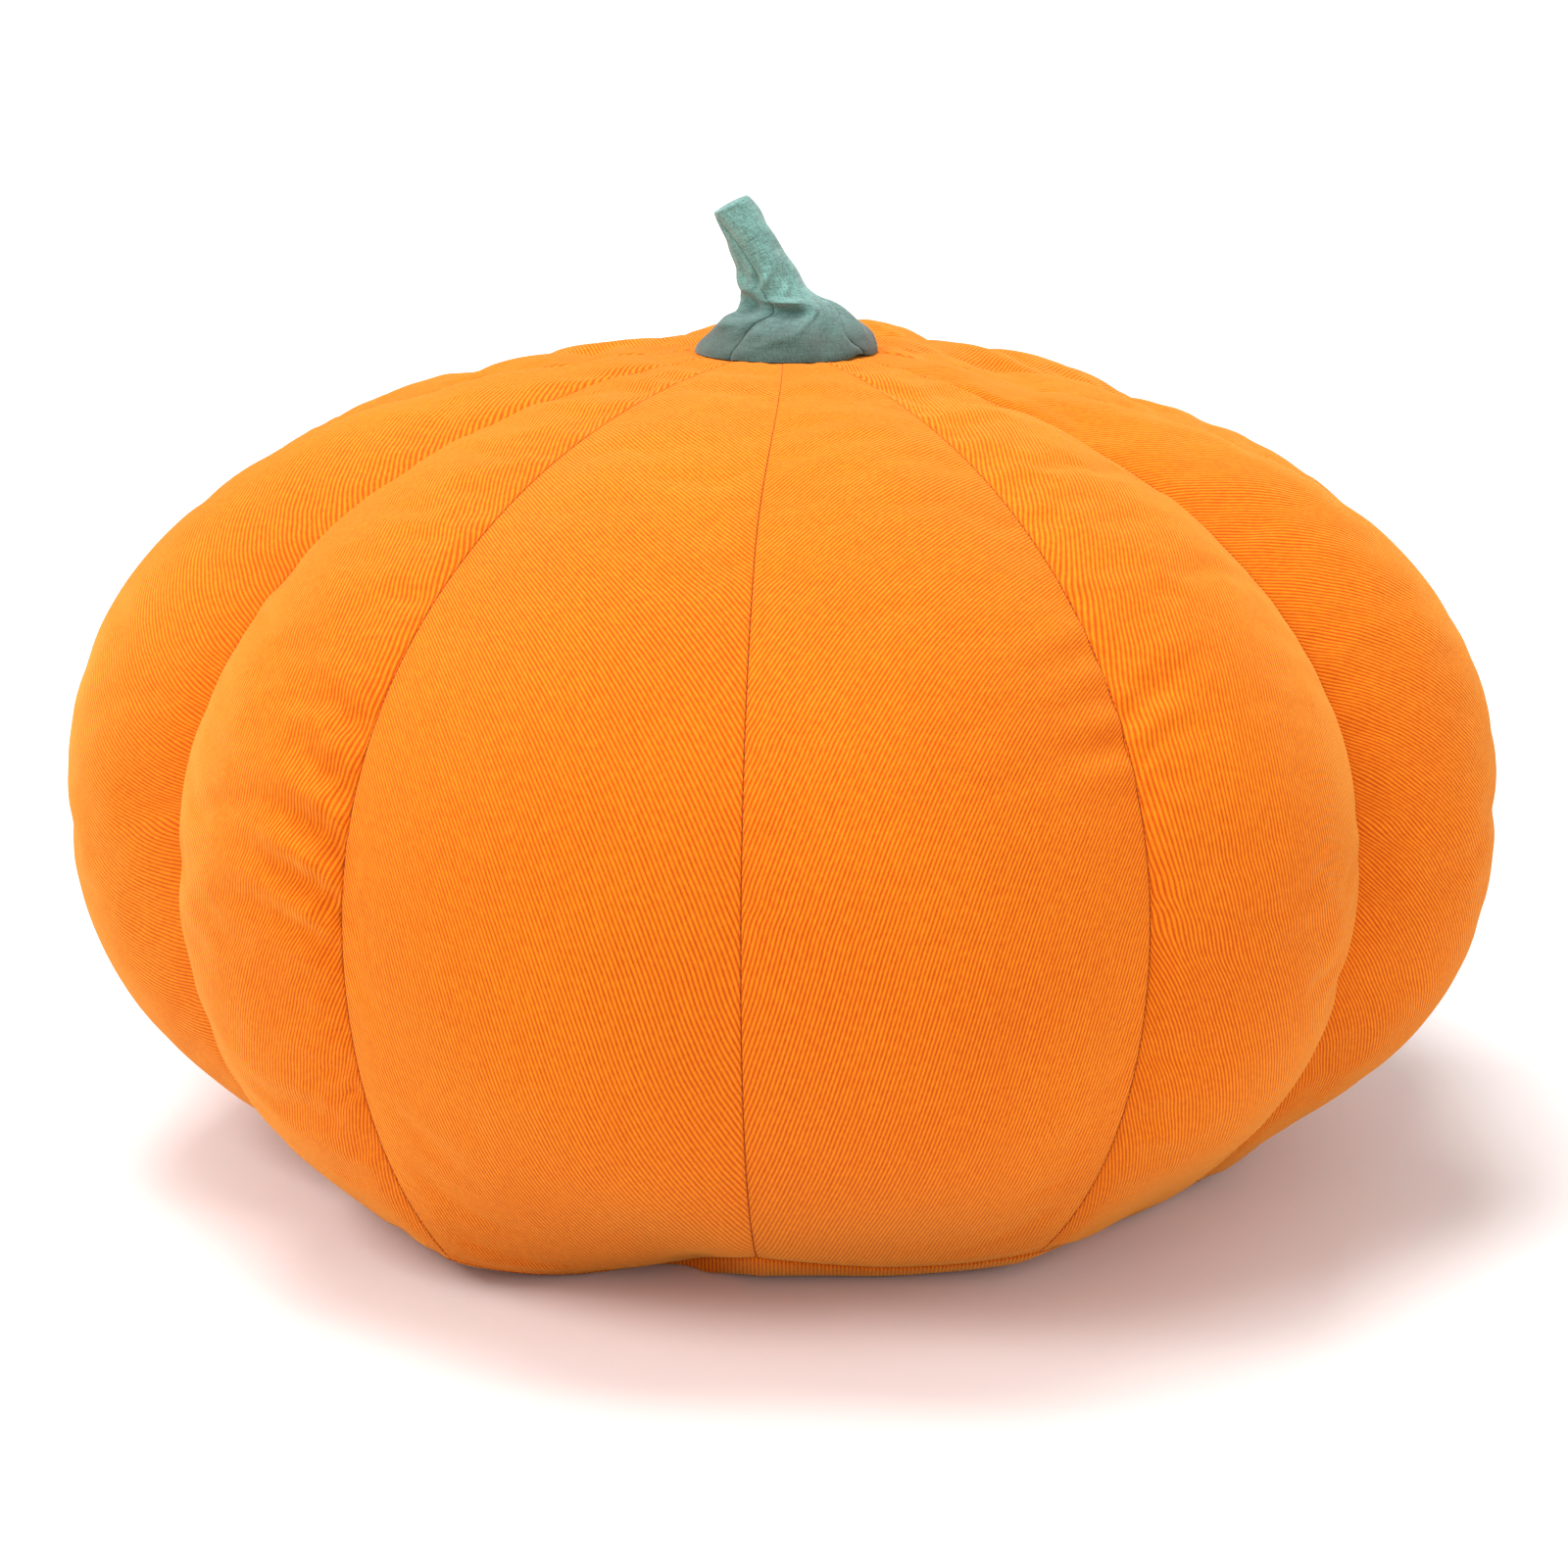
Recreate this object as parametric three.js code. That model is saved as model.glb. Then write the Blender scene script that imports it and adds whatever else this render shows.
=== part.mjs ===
// A floor pouf in the shape of a pumpkin: twelve filled panels, a round base panel and a stuffed stalk.
// Millimetres, +Z up. The origin is the middle of the flat underside, and the front is towards -Y.
import * as THREE from 'three';

// Overall sizes
const topHeight = 337; // top of the panels, where the stalk is sewn on
const gap = 0.3; // between neighbouring pieces
const axisClear = 3; // the panels' inner edges stop this far from the middle
const skirtRadius = 37.5; // hem of the stalk
const valleyStart = 80; // the valleys between the panels reach their full depth from here outwards
const shoulderStart = 110; // a low shoulder has reached its full sag from here outwards

// The flat underside and the base panel that turns up around it
const soleRadius = 176;
const turnUpRadius = 40;
const turnUpAngle = 48.5;
const baseThick = 2.5;
const hemLap = 2; // degrees of the same arc that a panel's underside runs on past the base panel's edge

// Outline along a seam: a rounded square above the widest level, where 2 is an ellipse and more is squarer,
// and below it a part of an ellipse, cut off at the hem
const upperSquareness = 2.15;
const lowerReach = 228; // from the widest level down to where the ellipse would close
const hemHeight = 16.5;
const rowsAbove = 14;
const rowsBelow = 7;
const stepsAcross = 8;

// Each seam: its direction from the front (degrees, + to the right), its radius and height at the widest,
// and how far its shoulder sags below the top
const seams = [
  { turn: -3, reach: 276, level: 158, sag: 0 },
  { turn: 27.5, reach: 278, level: 160, sag: 1 },
  { turn: 55, reach: 266, level: 160, sag: 3 },
  { turn: 87, reach: 267, level: 160, sag: 7 },
  { turn: 117, reach: 267, level: 158, sag: 6 },
  { turn: 146.5, reach: 270, level: 158, sag: 1 },
  { turn: 176, reach: 270, level: 158, sag: 0 },
  { turn: 206, reach: 270, level: 158, sag: 1 },
  { turn: 235.5, reach: 272, level: 156, sag: 2 },
  { turn: 265, reach: 275, level: 158, sag: 1 },
  { turn: 300, reach: 267, level: 154, sag: 1 },
  { turn: 326, reach: 281, level: 157, sag: 0 },
];
// Each panel, from the seam of the same place in the list to the next: how far it swells past the line of
// its two seams, and which share of that is left near the top and at the hem
const panels = [
  { swell: 18, nearTop: 0.6, atHem: 0.3 },
  { swell: 20, nearTop: 0.5, atHem: 0.1 },
  { swell: 34, nearTop: 0.4, atHem: 0.45 },
  { swell: 24, nearTop: 0.2, atHem: 0.5 },
  { swell: 22, nearTop: 0.7, atHem: 0.5 },
  { swell: 24, nearTop: 1.5, atHem: 0.5 },
  { swell: 26, nearTop: 1.3, atHem: 0.5 },
  { swell: 24, nearTop: 0.9, atHem: 0.5 },
  { swell: 25, nearTop: 0.5, atHem: 0.5 },
  { swell: 29, nearTop: 0.6, atHem: 0.4 },
  { swell: 18, nearTop: 0.6, atHem: 0.1 },
  { swell: 16, nearTop: 0.6, atHem: 0.3 },
];

// The stalk from its hem to its tip: height, sideways shift, half width and half depth
const stalkStations = [
  { up: 0, shift: 1, wide: 37.5, deep: 37 },
  { up: 2.2, shift: 1, wide: 37.5, deep: 37 },
  { up: 9, shift: 1, wide: 28, deep: 27 },
  { up: 15, shift: 0, wide: 19.5, deep: 18 },
  { up: 20, shift: -3, wide: 14.5, deep: 13.5 },
  { up: 27, shift: -6, wide: 13, deep: 12 },
  { up: 36, shift: -9.5, wide: 12, deep: 11.5 },
  { up: 46, shift: -14.5, wide: 10.8, deep: 10.5 },
  { up: 55, shift: -19, wide: 10, deep: 9 },
  { up: 60, shift: -20.5, wide: 8, deep: 6.5 },
  { up: 63, shift: -21, wide: 4.5, deep: 3 },
];
const stalkStepsRound = 14; // points of each half's outer curve

const twill = { color: 0xee7d1c, roughness: 0.85, metalness: 0 };
const stalkCloth = { color: 0x4a8578, roughness: 0.9, metalness: 0 };

const rad = THREE.MathUtils.degToRad;
const deg = THREE.MathUtils.radToDeg;
const lerp = THREE.MathUtils.lerp;

// Triangles that fill a flat loop, turning the same way round as the loop does
function endFaces(loop) {
  const faces = THREE.ShapeUtils.triangulateShape(loop, []);
  const corners = faces[0].map((i) => loop[i]);
  const alike = THREE.ShapeUtils.isClockWise(corners) === THREE.ShapeUtils.isClockWise(loop);
  return alike ? faces : faces.map((face) => face.toReversed());
}

// A closed solid through a row of closed loops with equally many points, with flat ends
function solidThrough(loops, flatten) {
  const count = loops[0].length;
  const index = [];
  for (let i = 0; i + 1 < loops.length; i++) {
    for (let j = 0; j < count; j++) {
      const a = i * count + j;
      const b = i * count + ((j + 1) % count);
      index.push(a, b, b + count, a, b + count, a + count);
    }
  }
  const last = (loops.length - 1) * count;
  for (const [a, b, c] of endFaces(loops[0].map(flatten))) index.push(c, b, a);
  for (const [a, b, c] of endFaces(loops.at(-1).map(flatten))) index.push(last + a, last + b, last + c);
  const geometry = new THREE.BufferGeometry();
  geometry.setFromPoints(loops.flat());
  geometry.setIndex(index);
  geometry.computeVertexNormals();
  return geometry;
}

// One point of the outline along a seam, and the direction in which a panel swells from there.
// angle runs from 0 at the top over 90 at the widest level to 180 underneath.
function outlinePoint({ reach, level, sag }, angle) {
  const upper = angle <= 90;
  const squareness = upper ? upperSquareness : 2;
  const across = Math.sin(rad(angle)) ** (2 / squareness);
  const along = Math.abs(Math.cos(rad(angle))) ** (2 / squareness);
  const radius = reach * across;
  const sagged = sag * THREE.MathUtils.smoothstep(radius, skirtRadius, shoulderStart);
  const tall = upper ? topHeight - sagged - level : -lowerReach;
  const normal = new THREE.Vector2(across ** (squareness - 1) / reach, along ** (squareness - 1) / tall);
  return { point: new THREE.Vector2(radius, level + tall * along), normal: normal.normalize() };
}

// Points along the base panel's turned-up edge, on an arc of the given radius and degrees
function turnUp(radius, degrees, steps) {
  return Array.from({ length: steps + 1 }, (_, i) => {
    const angle = rad((degrees * i) / steps);
    return new THREE.Vector2(
      soleRadius + radius * Math.sin(angle),
      turnUpRadius - radius * Math.cos(angle),
    );
  });
}

// Underside of a panel, from its hem inwards, just clear of the base panel
function underside() {
  const edge = turnUp(turnUpRadius - baseThick - gap, turnUpAngle + hemLap, 3);
  return [...edge.reverse(), new THREE.Vector2(axisClear, baseThick + gap)];
}

// Share of a panel's swell at a radius: in full at the widest, less towards the top and the hem
function fullness({ nearTop, atHem }, radius, reach, angle) {
  const upper = angle <= 90;
  const hemAcross = 0.78; // of the reach, at the hem
  const topAcross = 0.3; // of the reach, near the top
  const faded = 1 - THREE.MathUtils.smoothstep(radius / reach, upper ? topAcross : hemAcross, 1);
  const left = lerp(1, upper ? nearTop : atHem, faded);
  return (radius / reach) * left * THREE.MathUtils.smoothstep(radius, skirtRadius, valleyStart);
}

// Half section of a panel at a share of its width: top, outer cloth down to the hem, underside
function panelSection(from, to, panel, share) {
  const mixed = (key) => lerp(from[key], to[key], share);
  const line = { reach: mixed('reach'), level: mixed('level'), sag: mixed('sag') };
  const puff = panel.swell * (1 - (2 * share - 1) ** 2);
  const highest = deg(Math.asin((skirtRadius / line.reach) ** (upperSquareness / 2)));
  const lowest = 180 - deg(Math.acos((line.level - hemHeight) / lowerReach));
  const angles = [];
  for (let i = 0; i < rowsAbove; i++) angles.push(lerp(highest, 90, i / rowsAbove));
  for (let i = 0; i <= rowsBelow; i++) angles.push(lerp(90, lowest, i / rowsBelow));
  const cloth = angles.map((angle) => {
    const { point, normal } = outlinePoint(line, angle);
    return point.addScaledVector(normal, puff * fullness(panel, point.x, line.reach, angle));
  });
  return [new THREE.Vector2(axisClear, topHeight), ...cloth, ...underside()];
}

// A filled panel between two seams, its flat sides half a gap inside the seam planes
function panelGeometry(from, to, panel) {
  const width = THREE.MathUtils.euclideanModulo(to.turn - from.turn, 360);
  const loops = [];
  for (let i = 0; i <= stepsAcross; i++) {
    const share = i / stepsAcross;
    loops.push(panelSection(from, to, panel, share).map(({ x: radius, y: height }) => {
      const inset = Math.asin(gap / 2 / radius);
      const direction = lerp(rad(from.turn) + inset, rad(from.turn + width) - inset, share);
      return new THREE.Vector3(radius * Math.sin(direction), -radius * Math.cos(direction), height);
    }));
  }
  return solidThrough(loops, (p) => new THREE.Vector2(Math.hypot(p.x, p.y), p.z));
}

// The round base panel: flat underneath, its edge turned up to the seam
function baseGeometry() {
  const profile = [
    new THREE.Vector2(0, 0),
    ...turnUp(turnUpRadius, turnUpAngle, 5),
    ...turnUp(turnUpRadius - baseThick, turnUpAngle, 5).reverse(),
    new THREE.Vector2(0, baseThick),
  ];
  return new THREE.LatheGeometry(profile, 72).rotateX(Math.PI / 2);
}

// One half of the stalk: half of each station's oval, closed by a flat side along the two seams.
// start is the direction in which its outer curve begins, in degrees from the front.
function stalkHalfGeometry(start) {
  const middle = rad(start + 90);
  const loops = stalkStations.map(({ up, shift, wide, deep }) => {
    const loop = [];
    for (let i = 0; i <= stalkStepsRound; i++) {
      const direction = rad(start + (180 * i) / stalkStepsRound);
      loop.push(new THREE.Vector3(
        shift + wide * Math.sin(direction),
        -deep * Math.cos(direction) - (gap / 2) * Math.cos(middle),
        topHeight + gap + up,
      ));
    }
    return loop;
  });
  return solidThrough(loops, (p) => new THREE.Vector2(p.x, p.y));
}

const pouf = new THREE.Group();

function addPiece(name, geometry, material) {
  const mesh = new THREE.Mesh(geometry, new THREE.MeshStandardMaterial(material));
  mesh.name = name;
  pouf.add(mesh);
}

seams.forEach((seam, i) => {
  const name = `panel_${String(i + 1).padStart(2, '0')}`;
  addPiece(name, panelGeometry(seam, seams[(i + 1) % seams.length], panels[i]), twill);
});
addPiece('base_panel', baseGeometry(), twill);
addPiece('stalk_front', stalkHalfGeometry(-90), stalkCloth);
addPiece('stalk_back', stalkHalfGeometry(90), stalkCloth);

export default pouf;
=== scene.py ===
import math

import bpy
import numpy as np
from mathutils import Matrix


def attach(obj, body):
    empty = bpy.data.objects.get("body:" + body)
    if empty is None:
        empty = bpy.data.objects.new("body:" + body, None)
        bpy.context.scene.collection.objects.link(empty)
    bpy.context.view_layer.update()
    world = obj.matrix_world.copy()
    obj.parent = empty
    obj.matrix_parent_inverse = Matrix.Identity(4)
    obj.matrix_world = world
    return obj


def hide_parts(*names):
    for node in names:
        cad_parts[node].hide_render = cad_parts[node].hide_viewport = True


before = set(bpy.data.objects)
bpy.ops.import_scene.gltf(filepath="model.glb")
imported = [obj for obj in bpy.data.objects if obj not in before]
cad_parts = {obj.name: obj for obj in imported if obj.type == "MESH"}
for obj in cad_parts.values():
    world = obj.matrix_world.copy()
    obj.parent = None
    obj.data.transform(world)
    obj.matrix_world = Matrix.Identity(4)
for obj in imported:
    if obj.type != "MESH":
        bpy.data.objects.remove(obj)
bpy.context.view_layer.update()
print("frame loaded")

mm = 0.001

# The cover: metres, +Z up, directions in degrees from the front (-Y), + to the right
cover = dict(
    topHeight=337 * mm,
    topRadius=14 * mm,  # the panels end here, under the stalk
    skirtRadius=37.5 * mm,
    valleyStart=80 * mm,  # the valleys reach their full depth from here outwards
    shoulderStart=110 * mm,
    upperSquareness=2.15,  # 2 is an ellipse, more is squarer
    nearTopAt=0.3,  # of the reach: the swell has come down to its share near the top here
    atHemAt=0.78,  # and to its share at the hem here
    leanFade=(40 * mm, 200 * mm),  # a seam's lean dies away between these radii
    floorClear=1.5 * mm,  # no cloth of the panels comes lower
    steps=28,  # across a panel
    rows=140,  # from the stalk to the hem
    lumps=0.9 * mm,
    lumpWaves=((5, 22), (9, 35), (14, 18), (21, 52), (27, 75)),  # in a full turn, and per metre of height
    lumpFade=0.8,  # power of the fade towards the seams
)

# Each seam: direction, radius and height at the widest, sag of its shoulder, reach of its lower ellipse,
# height of its hem, and how far it leans aside near the top
seamColumns = ("turn", "reach", "level", "sag", "low", "hem", "lean")
seamRows = [
    (-3, 281, 158, 0, 195, 21, 2.2),
    (27.5, 278, 160, 1, 220, 18, 0),
    (55, 266, 160, 3, 221, 17, 0),
    (87, 267, 160, 7, 228, 17, 0),
    (117, 267, 158, 6, 228, 18, 0),
    (146.5, 270, 158, 1, 228, 16, 0),
    (176, 270, 158, 0, 226, 18, 0),
    (206, 270, 158, 1, 228, 17, 0),
    (235.5, 272, 156, 2, 228, 16, 0),
    (265, 275, 158, 1, 223, 18, 0),
    (300, 268, 154, 1, 228, 17, 0),
    (326, 281, 157, 0, 243, 15, 0),
]
# Each panel, from the seam of the same row to the next: swell past its seams' line, the shares of it left
# near the top and at the hem, how softly it meets its first and its second seam (1 is a plain arch), how
# far its hem dips between the seams, how far it is pulled in underneath, how freely its cloth wrinkles, the
# turn of its twill ridges near the top, at the shoulder, at the widest and low down, and the direction that
# its cloth was laid flat in (degrees from the front)
panelColumns = ("swell", "nearTop", "atHem", "firstSoft", "secondSoft", "dip", "pull", "slack",
                "topTwill", "shoulderTwill", "twill", "lowTwill", "facing")
panelRows = [
    (14, 0.6, 0.1, 1.5, 1.3, 8, 6, 0.38, -50, -36, -14, 0, 0),
    (17, 0.5, 0.1, 0.9, 1, 9, 10, 0.7, -30, -16, 27, 24, 41),
    (34, 0.4, 0.45, 1, 1, 10, 12, 0.45, 39, 39, 39, 30, 71),
    (24, 0.2, 0.5, 1, 1, 10, 0, 0.8, -30, -30, -30, -24, 102),
    (22, 0.95, 0.5, 1, 1, 9, 0, 0.8, 26, 26, 26, 20, 132),
    (24, 1.4, 0.5, 1, 1, 10, 0, 0.8, -34, -34, -34, -28, 161),
    (26, 1.1, 0.5, 1, 1, 10, 0, 0.8, 28, 28, 28, 22, 191),
    (24, 0.7, 0.5, 1, 1, 9, 0, 0.8, -25, -25, -25, -20, 221),
    (25, 0.5, 0.5, 1, 1, 10, 0, 0.8, 31, 31, 31, 25, 250),
    (29, 0.6, 0.4, 1, 1, 10, 19, 0.45, 40, 45, 50, 40, 282),
    (15, 0.6, 0.1, 1.1, 0.9, 9, 12, 0.7, 30, 10, -27, -16, 313),
    (13, 0.6, 0.2, 1.2, 1.5, 16.5, 22, 0.38, 50, 36, 13, 0, 0),
]
seams = {name: np.array([row[i] for row in seamRows], float) for i, name in enumerate(seamColumns)}
panels = {name: np.array([row[i] for row in panelRows], float) for i, name in enumerate(panelColumns)}
for name in ("reach", "level", "sag", "low", "hem"):
    seams[name] *= mm
for name in ("swell", "dip", "pull"):
    panels[name] *= mm
panelCount = len(panelRows)

# Puckers beside a seam: panel, side of the panel, height of the trough at the seam (mm), how far it runs
# in from the seam (mm), pitch (mm), depth (mm), and how much it climbs on its way in (mm per mm)
puckerColumns = ("panel", "side", "height", "run", "pitch", "depth", "climb")
frontPuckers = [
    (10, 1, 227, 30, 21.6, 2.4, 0.3),
    (10, 1, 207, 26, 19, 2.4, 0.25),
    (10, 1, 189, 34, 21, 4.4, 0.1),
    (10, 1, 169, 32, 19, 4.0, 0.1),
    (10, 1, 151, 28, 18, 2.8, 0.1),
    (10, 1, 118, 22, 12, 2.6, 0.2),
    (10, 1, 94, 24, 11, 3.2, 0.2),
    (10, 1, 60, 20, 9, 2.4, 0.1),
    (10, 1, 51, 15, 5.8, 1.3, 0.1),
    (11, 0, 186, 13, 18, 0.8, 0.2),
    (11, 0, 60, 15, 9, 1.0, 0.1),
    (11, 0, 51, 12, 8, 0.7, 0.1),
    (0, 1, 259, 28, 20, 1.2, -0.45),
    (0, 1, 230, 30, 20, 1.9, -0.3),
    (0, 1, 98, 15, 9, 1.2, 0.1),
    (0, 1, 51, 14, 9, 0.8, 0),
    (0, 1, 26, 12, 8, 0.8, 0),
    (1, 0, 271, 12, 14, 0.9, 0.1),
    (1, 0, 256, 14, 14, 0.8, 0.3),
    (1, 0, 236, 32, 20, 2.6, 0.25),
    (1, 0, 209, 18, 18, 1.0, 0.2),
    (1, 0, 183, 14, 18, 0.5, 0.2),
    (1, 0, 98, 22, 10, 1.3, -0.1),
]
pucker = dict(
    die=0.8,  # of the pitch, the distance across a trough over which its waves die away
    seamFade=(-2 * mm, 3 * mm),
)
# The panels round the back get puckers within these bounds instead (mm)
backPuckers = dict(
    firstPanel=2,
    lastPanel=9,
    heights=(55, 290, 34),  # from, to and step
    leftOut=0.35,  # share of them
    shift=12,
    run=(12, 26),
    pitch=(13, 24),
    depth=(0.4, 1.5),
    climb=(-0.4, 0.4),
)


def smoothStep(x, low, high):
    # 3 t^2 - 2 t^3, with t from 0 at low to 1 at high
    t = np.clip((x - low) / (high - low), 0, 1)
    return t * t * (3 - 2 * t)


def mixed(values, share):
    # Between a seam's value and the next seam's, for every panel and every place across it
    return values[:, None, None] + (np.roll(values, -1) - values)[:, None, None] * share


def coverSkin(spare):
    # Radius = reach * sin(angle)^(2/n) and height = level + tall * |cos(angle)|^(2/n) along every line of
    # a panel, with the swell times sin(pi * share)^softness added along the outline's normal, less what the
    # cloth stage adds
    steps, rows = cover["steps"], cover["rows"]
    share = np.linspace(0, 1, steps + 1)[None, :, None]
    down = np.linspace(0, 1, rows)[None, None, :]
    reach, level, sag, low = (mixed(seams[k], share) for k in ("reach", "level", "sag", "low"))
    one = {k: v[:, None, None] for k, v in panels.items()}
    middle = 1 - (2 * share - 1) ** 2
    hem = mixed(seams["hem"], share) - one["dip"] * middle
    low = low - one["pull"] * middle
    topAngle = np.arcsin((cover["topRadius"] / reach) ** (cover["upperSquareness"] / 2))
    hemAngle = np.pi - np.arccos((level - hem) / low)
    angle = topAngle + (hemAngle - topAngle) * down
    upper = angle <= np.pi / 2
    squareness = np.where(upper, cover["upperSquareness"], 2)
    across = np.sin(angle) ** (2 / squareness)
    along = np.abs(np.cos(angle)) ** (2 / squareness)
    radius = reach * across
    sagged = sag * smoothStep(radius, cover["skirtRadius"], cover["shoulderStart"])
    tall = np.where(upper, cover["topHeight"] - sagged - level, -low)
    height = level + tall * along
    normalOut = across ** (squareness - 1) / reach
    normalUp = along ** (squareness - 1) / tall
    length = np.hypot(normalOut, normalUp)
    faded = 1 - smoothStep(across, np.where(upper, cover["nearTopAt"], cover["atHemAt"]), 1)
    left = 1 + (np.where(upper, one["nearTop"], one["atHem"]) - 1) * faded
    full = across * left * smoothStep(radius, cover["skirtRadius"], cover["valleyStart"])
    soft = np.where(share < 0.5, one["firstSoft"], one["secondSoft"])
    puff = (one["swell"] - spare * one["slack"]) * np.sin(np.pi * share) ** soft * full
    radius = radius + puff * normalOut / length
    height = height + puff * normalUp / length
    turn = seams["turn"]
    width = (np.roll(turn, -1) - turn) % 360
    lean = mixed(seams["lean"], share) * (1 - smoothStep(radius, *cover["leanFade"]))
    direction = np.radians(turn[:, None, None] + width[:, None, None] * share + lean)
    return np.stack([radius * np.sin(direction), -radius * np.cos(direction), height], -1)


def gridNormals(points):
    # Cross product of the steps down and across, one unit vector for each point, facing outwards
    stepAcross = np.gradient(points, axis=-3)
    stepDown = np.gradient(points, axis=-2)
    normal = np.cross(stepDown, stepAcross)
    return normal / np.linalg.norm(normal, axis=-1, keepdims=True)


def lengthAlong(points, axis):
    # Running length of the grid's lines along one axis
    step = np.linalg.norm(np.diff(points, axis=axis), axis=-1)
    zero = np.zeros_like(np.take(step, [0], axis=axis))
    return np.cumsum(np.concatenate([zero, step], axis=axis), axis=axis)


def addLumps(points):
    # Soft unevenness of the filling: a few long sine waves over direction and height, none at the seams
    draw = np.random.default_rng(12)
    share = np.linspace(0, 1, points.shape[1])[None, :, None]
    fade = np.sin(np.pi * share) ** cover["lumpFade"]
    direction = np.arctan2(points[..., 0], -points[..., 1])
    wave = np.zeros(points.shape[:3])
    for turns, climbs in cover["lumpWaves"]:
        phase = draw.uniform(0, 2 * np.pi)
        wave += np.sin(turns * direction + climbs * points[..., 2] + phase) / len(cover["lumpWaves"])
    return points + gridNormals(points) * (cover["lumps"] * wave * fade)[..., None]


# The cloth stage: the whole cover on a coarser grid, its seams and ends held, blown out by the filling
relax = dict(
    every=2,  # of the cover's columns and rows
    frames=20,
    quality=5,
    heldRows=3,  # at the top
    pressure=4.0,
    vertexMass=0.02,
    tension=12.0,
    shearShare=3,  # the tension is this many times the shear
    bending=0.05,
    spareCloth=0.03,  # how much longer the cloth is than the outline
    cap=4 * mm,
    adds=3.6 * mm,  # to the middle of a panel
)


def relaxedSkin(points):
    # The movement of each point over the frames, at most the cap, laid back over the fine grid by mixing
    # its four neighbours on the coarse one
    step = relax["every"]
    held = points[:, ::step, ::step]
    ring = held[:, :-1].reshape(-1, held.shape[2], 3)
    columns, down = ring.shape[:2]
    piece = meshFrom("relaxing_cover", ring, gridFaces(columns, down, closed=True).tolist())
    across = held.shape[1] - 1
    index = np.arange(columns * down)
    column, row = index // down, index % down
    pins = index[(column % across == 0) | (row < relax["heldRows"]) | (row == down - 1)]
    group = piece.vertex_groups.new(name="held")
    group.add(pins.tolist(), 1, "REPLACE")
    cloth = piece.modifiers.new("cloth", "CLOTH")
    physics = cloth.settings
    physics.vertex_group_mass = "held"
    physics.quality = relax["quality"]
    physics.mass = relax["vertexMass"]
    physics.tension_stiffness = relax["tension"]
    physics.compression_stiffness = relax["tension"]
    physics.shear_stiffness = relax["tension"] / relax["shearShare"]
    physics.bending_stiffness = relax["bending"]
    physics.use_pressure = True
    physics.uniform_pressure_force = relax["pressure"]
    physics.shrink_min = -relax["spareCloth"]
    physics.effector_weights.gravity = 0
    cloth.collision_settings.use_collision = False
    cloth.point_cache.frame_start = 1
    cloth.point_cache.frame_end = relax["frames"]
    scene = bpy.context.scene
    for number in range(1, relax["frames"] + 1):
        scene.frame_set(number)
    blown = piece.evaluated_get(bpy.context.evaluated_depsgraph_get())
    settled = blown.to_mesh()
    found = np.empty(len(settled.vertices) * 3, np.float32)
    settled.vertices.foreach_get("co", found)
    blown.to_mesh_clear()
    scene.frame_set(1)
    bpy.data.objects.remove(piece, do_unlink=True)
    moved = found.reshape(ring.shape).astype(float) - ring
    size = np.linalg.norm(moved, axis=-1, keepdims=True)
    print(f"cloth stage: moved {size.mean() / mm:.2f} mm on average, {size.max() / mm:.2f} mm at most")
    moved *= np.minimum(1, relax["cap"] / np.maximum(size, 1e-9))
    moved = moved.reshape(panelCount, across, down, 3) * panels["slack"][:, None, None, None]
    moved = np.concatenate([moved, np.roll(moved, -1, 0)[:, :1]], 1)
    i = np.arange(points.shape[1]) / step
    j = np.minimum(np.arange(points.shape[2]) / step, down - 1)
    i0, j0 = np.minimum(i.astype(int), across - 1), np.minimum(j.astype(int), down - 2)
    fi, fj = (i - i0)[None, :, None, None], (j - j0)[None, None, :, None]
    moved = moved[:, i0] * (1 - fi) + moved[:, i0 + 1] * fi
    return points + moved[:, :, j0] * (1 - fj) + moved[:, :, j0 + 1] * fj


def hiddenPuckers():
    # A few milder puckers at uneven heights on both sides of every seam round the back
    draw = np.random.default_rng(7)
    bounds, rows = backPuckers, []
    for panel in range(bounds["firstPanel"], bounds["lastPanel"] + 1):
        for side in (0, 1):
            if panel == bounds["lastPanel"] and side == 1:
                continue
            for height in np.arange(*bounds["heights"]):
                if draw.random() < bounds["leftOut"]:
                    continue
                height += draw.uniform(-bounds["shift"], bounds["shift"])
                rest = [draw.uniform(*bounds[name]) for name in ("run", "pitch", "depth", "climb")]
                rows.append((panel, side, height, *rest))
    return rows


def addPuckers(points, rows):
    # Each pucker is -depth * cos(2 pi y / pitch) * exp(-(y / (die * pitch))^2) across its trough, growing
    # from the seam and dying away with exp(-(distance / run)^2) towards the panel's middle
    normals = gridNormals(points)
    across = lengthAlong(points, 1)
    down = lengthAlong(points, 2)
    bump = np.zeros(points.shape[:3])
    for row in rows:
        p = dict(zip(puckerColumns, row))
        i = p["panel"]
        seam = -1 if p["side"] else 0
        inward = across[i, -1] - across[i] if p["side"] else across[i]
        at = np.interp(-p["height"] * mm, -points[i, seam, :, 2], down[i, seam])
        y = down[i] - at + p["climb"] * inward
        pitch, run = p["pitch"] * mm, p["run"] * mm
        trough = np.cos(2 * np.pi * y / pitch) * np.exp(-((y / (pucker["die"] * pitch)) ** 2))
        fade = smoothStep(inward, *pucker["seamFade"]) * np.exp(-((inward / run) ** 2))
        bump[i] -= p["depth"] * mm * trough * fade
    return points + normals * bump[..., None]


def meshFrom(name, points, faces):
    # A smooth-shaded object of the points and faces, linked to the scene
    mesh = bpy.data.meshes.new(name)
    mesh.from_pydata(points.reshape(-1, 3).tolist(), [], faces)
    mesh.update()
    piece = bpy.data.objects.new(name, mesh)
    bpy.context.scene.collection.objects.link(piece)
    mesh.shade_smooth()
    return piece


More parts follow.
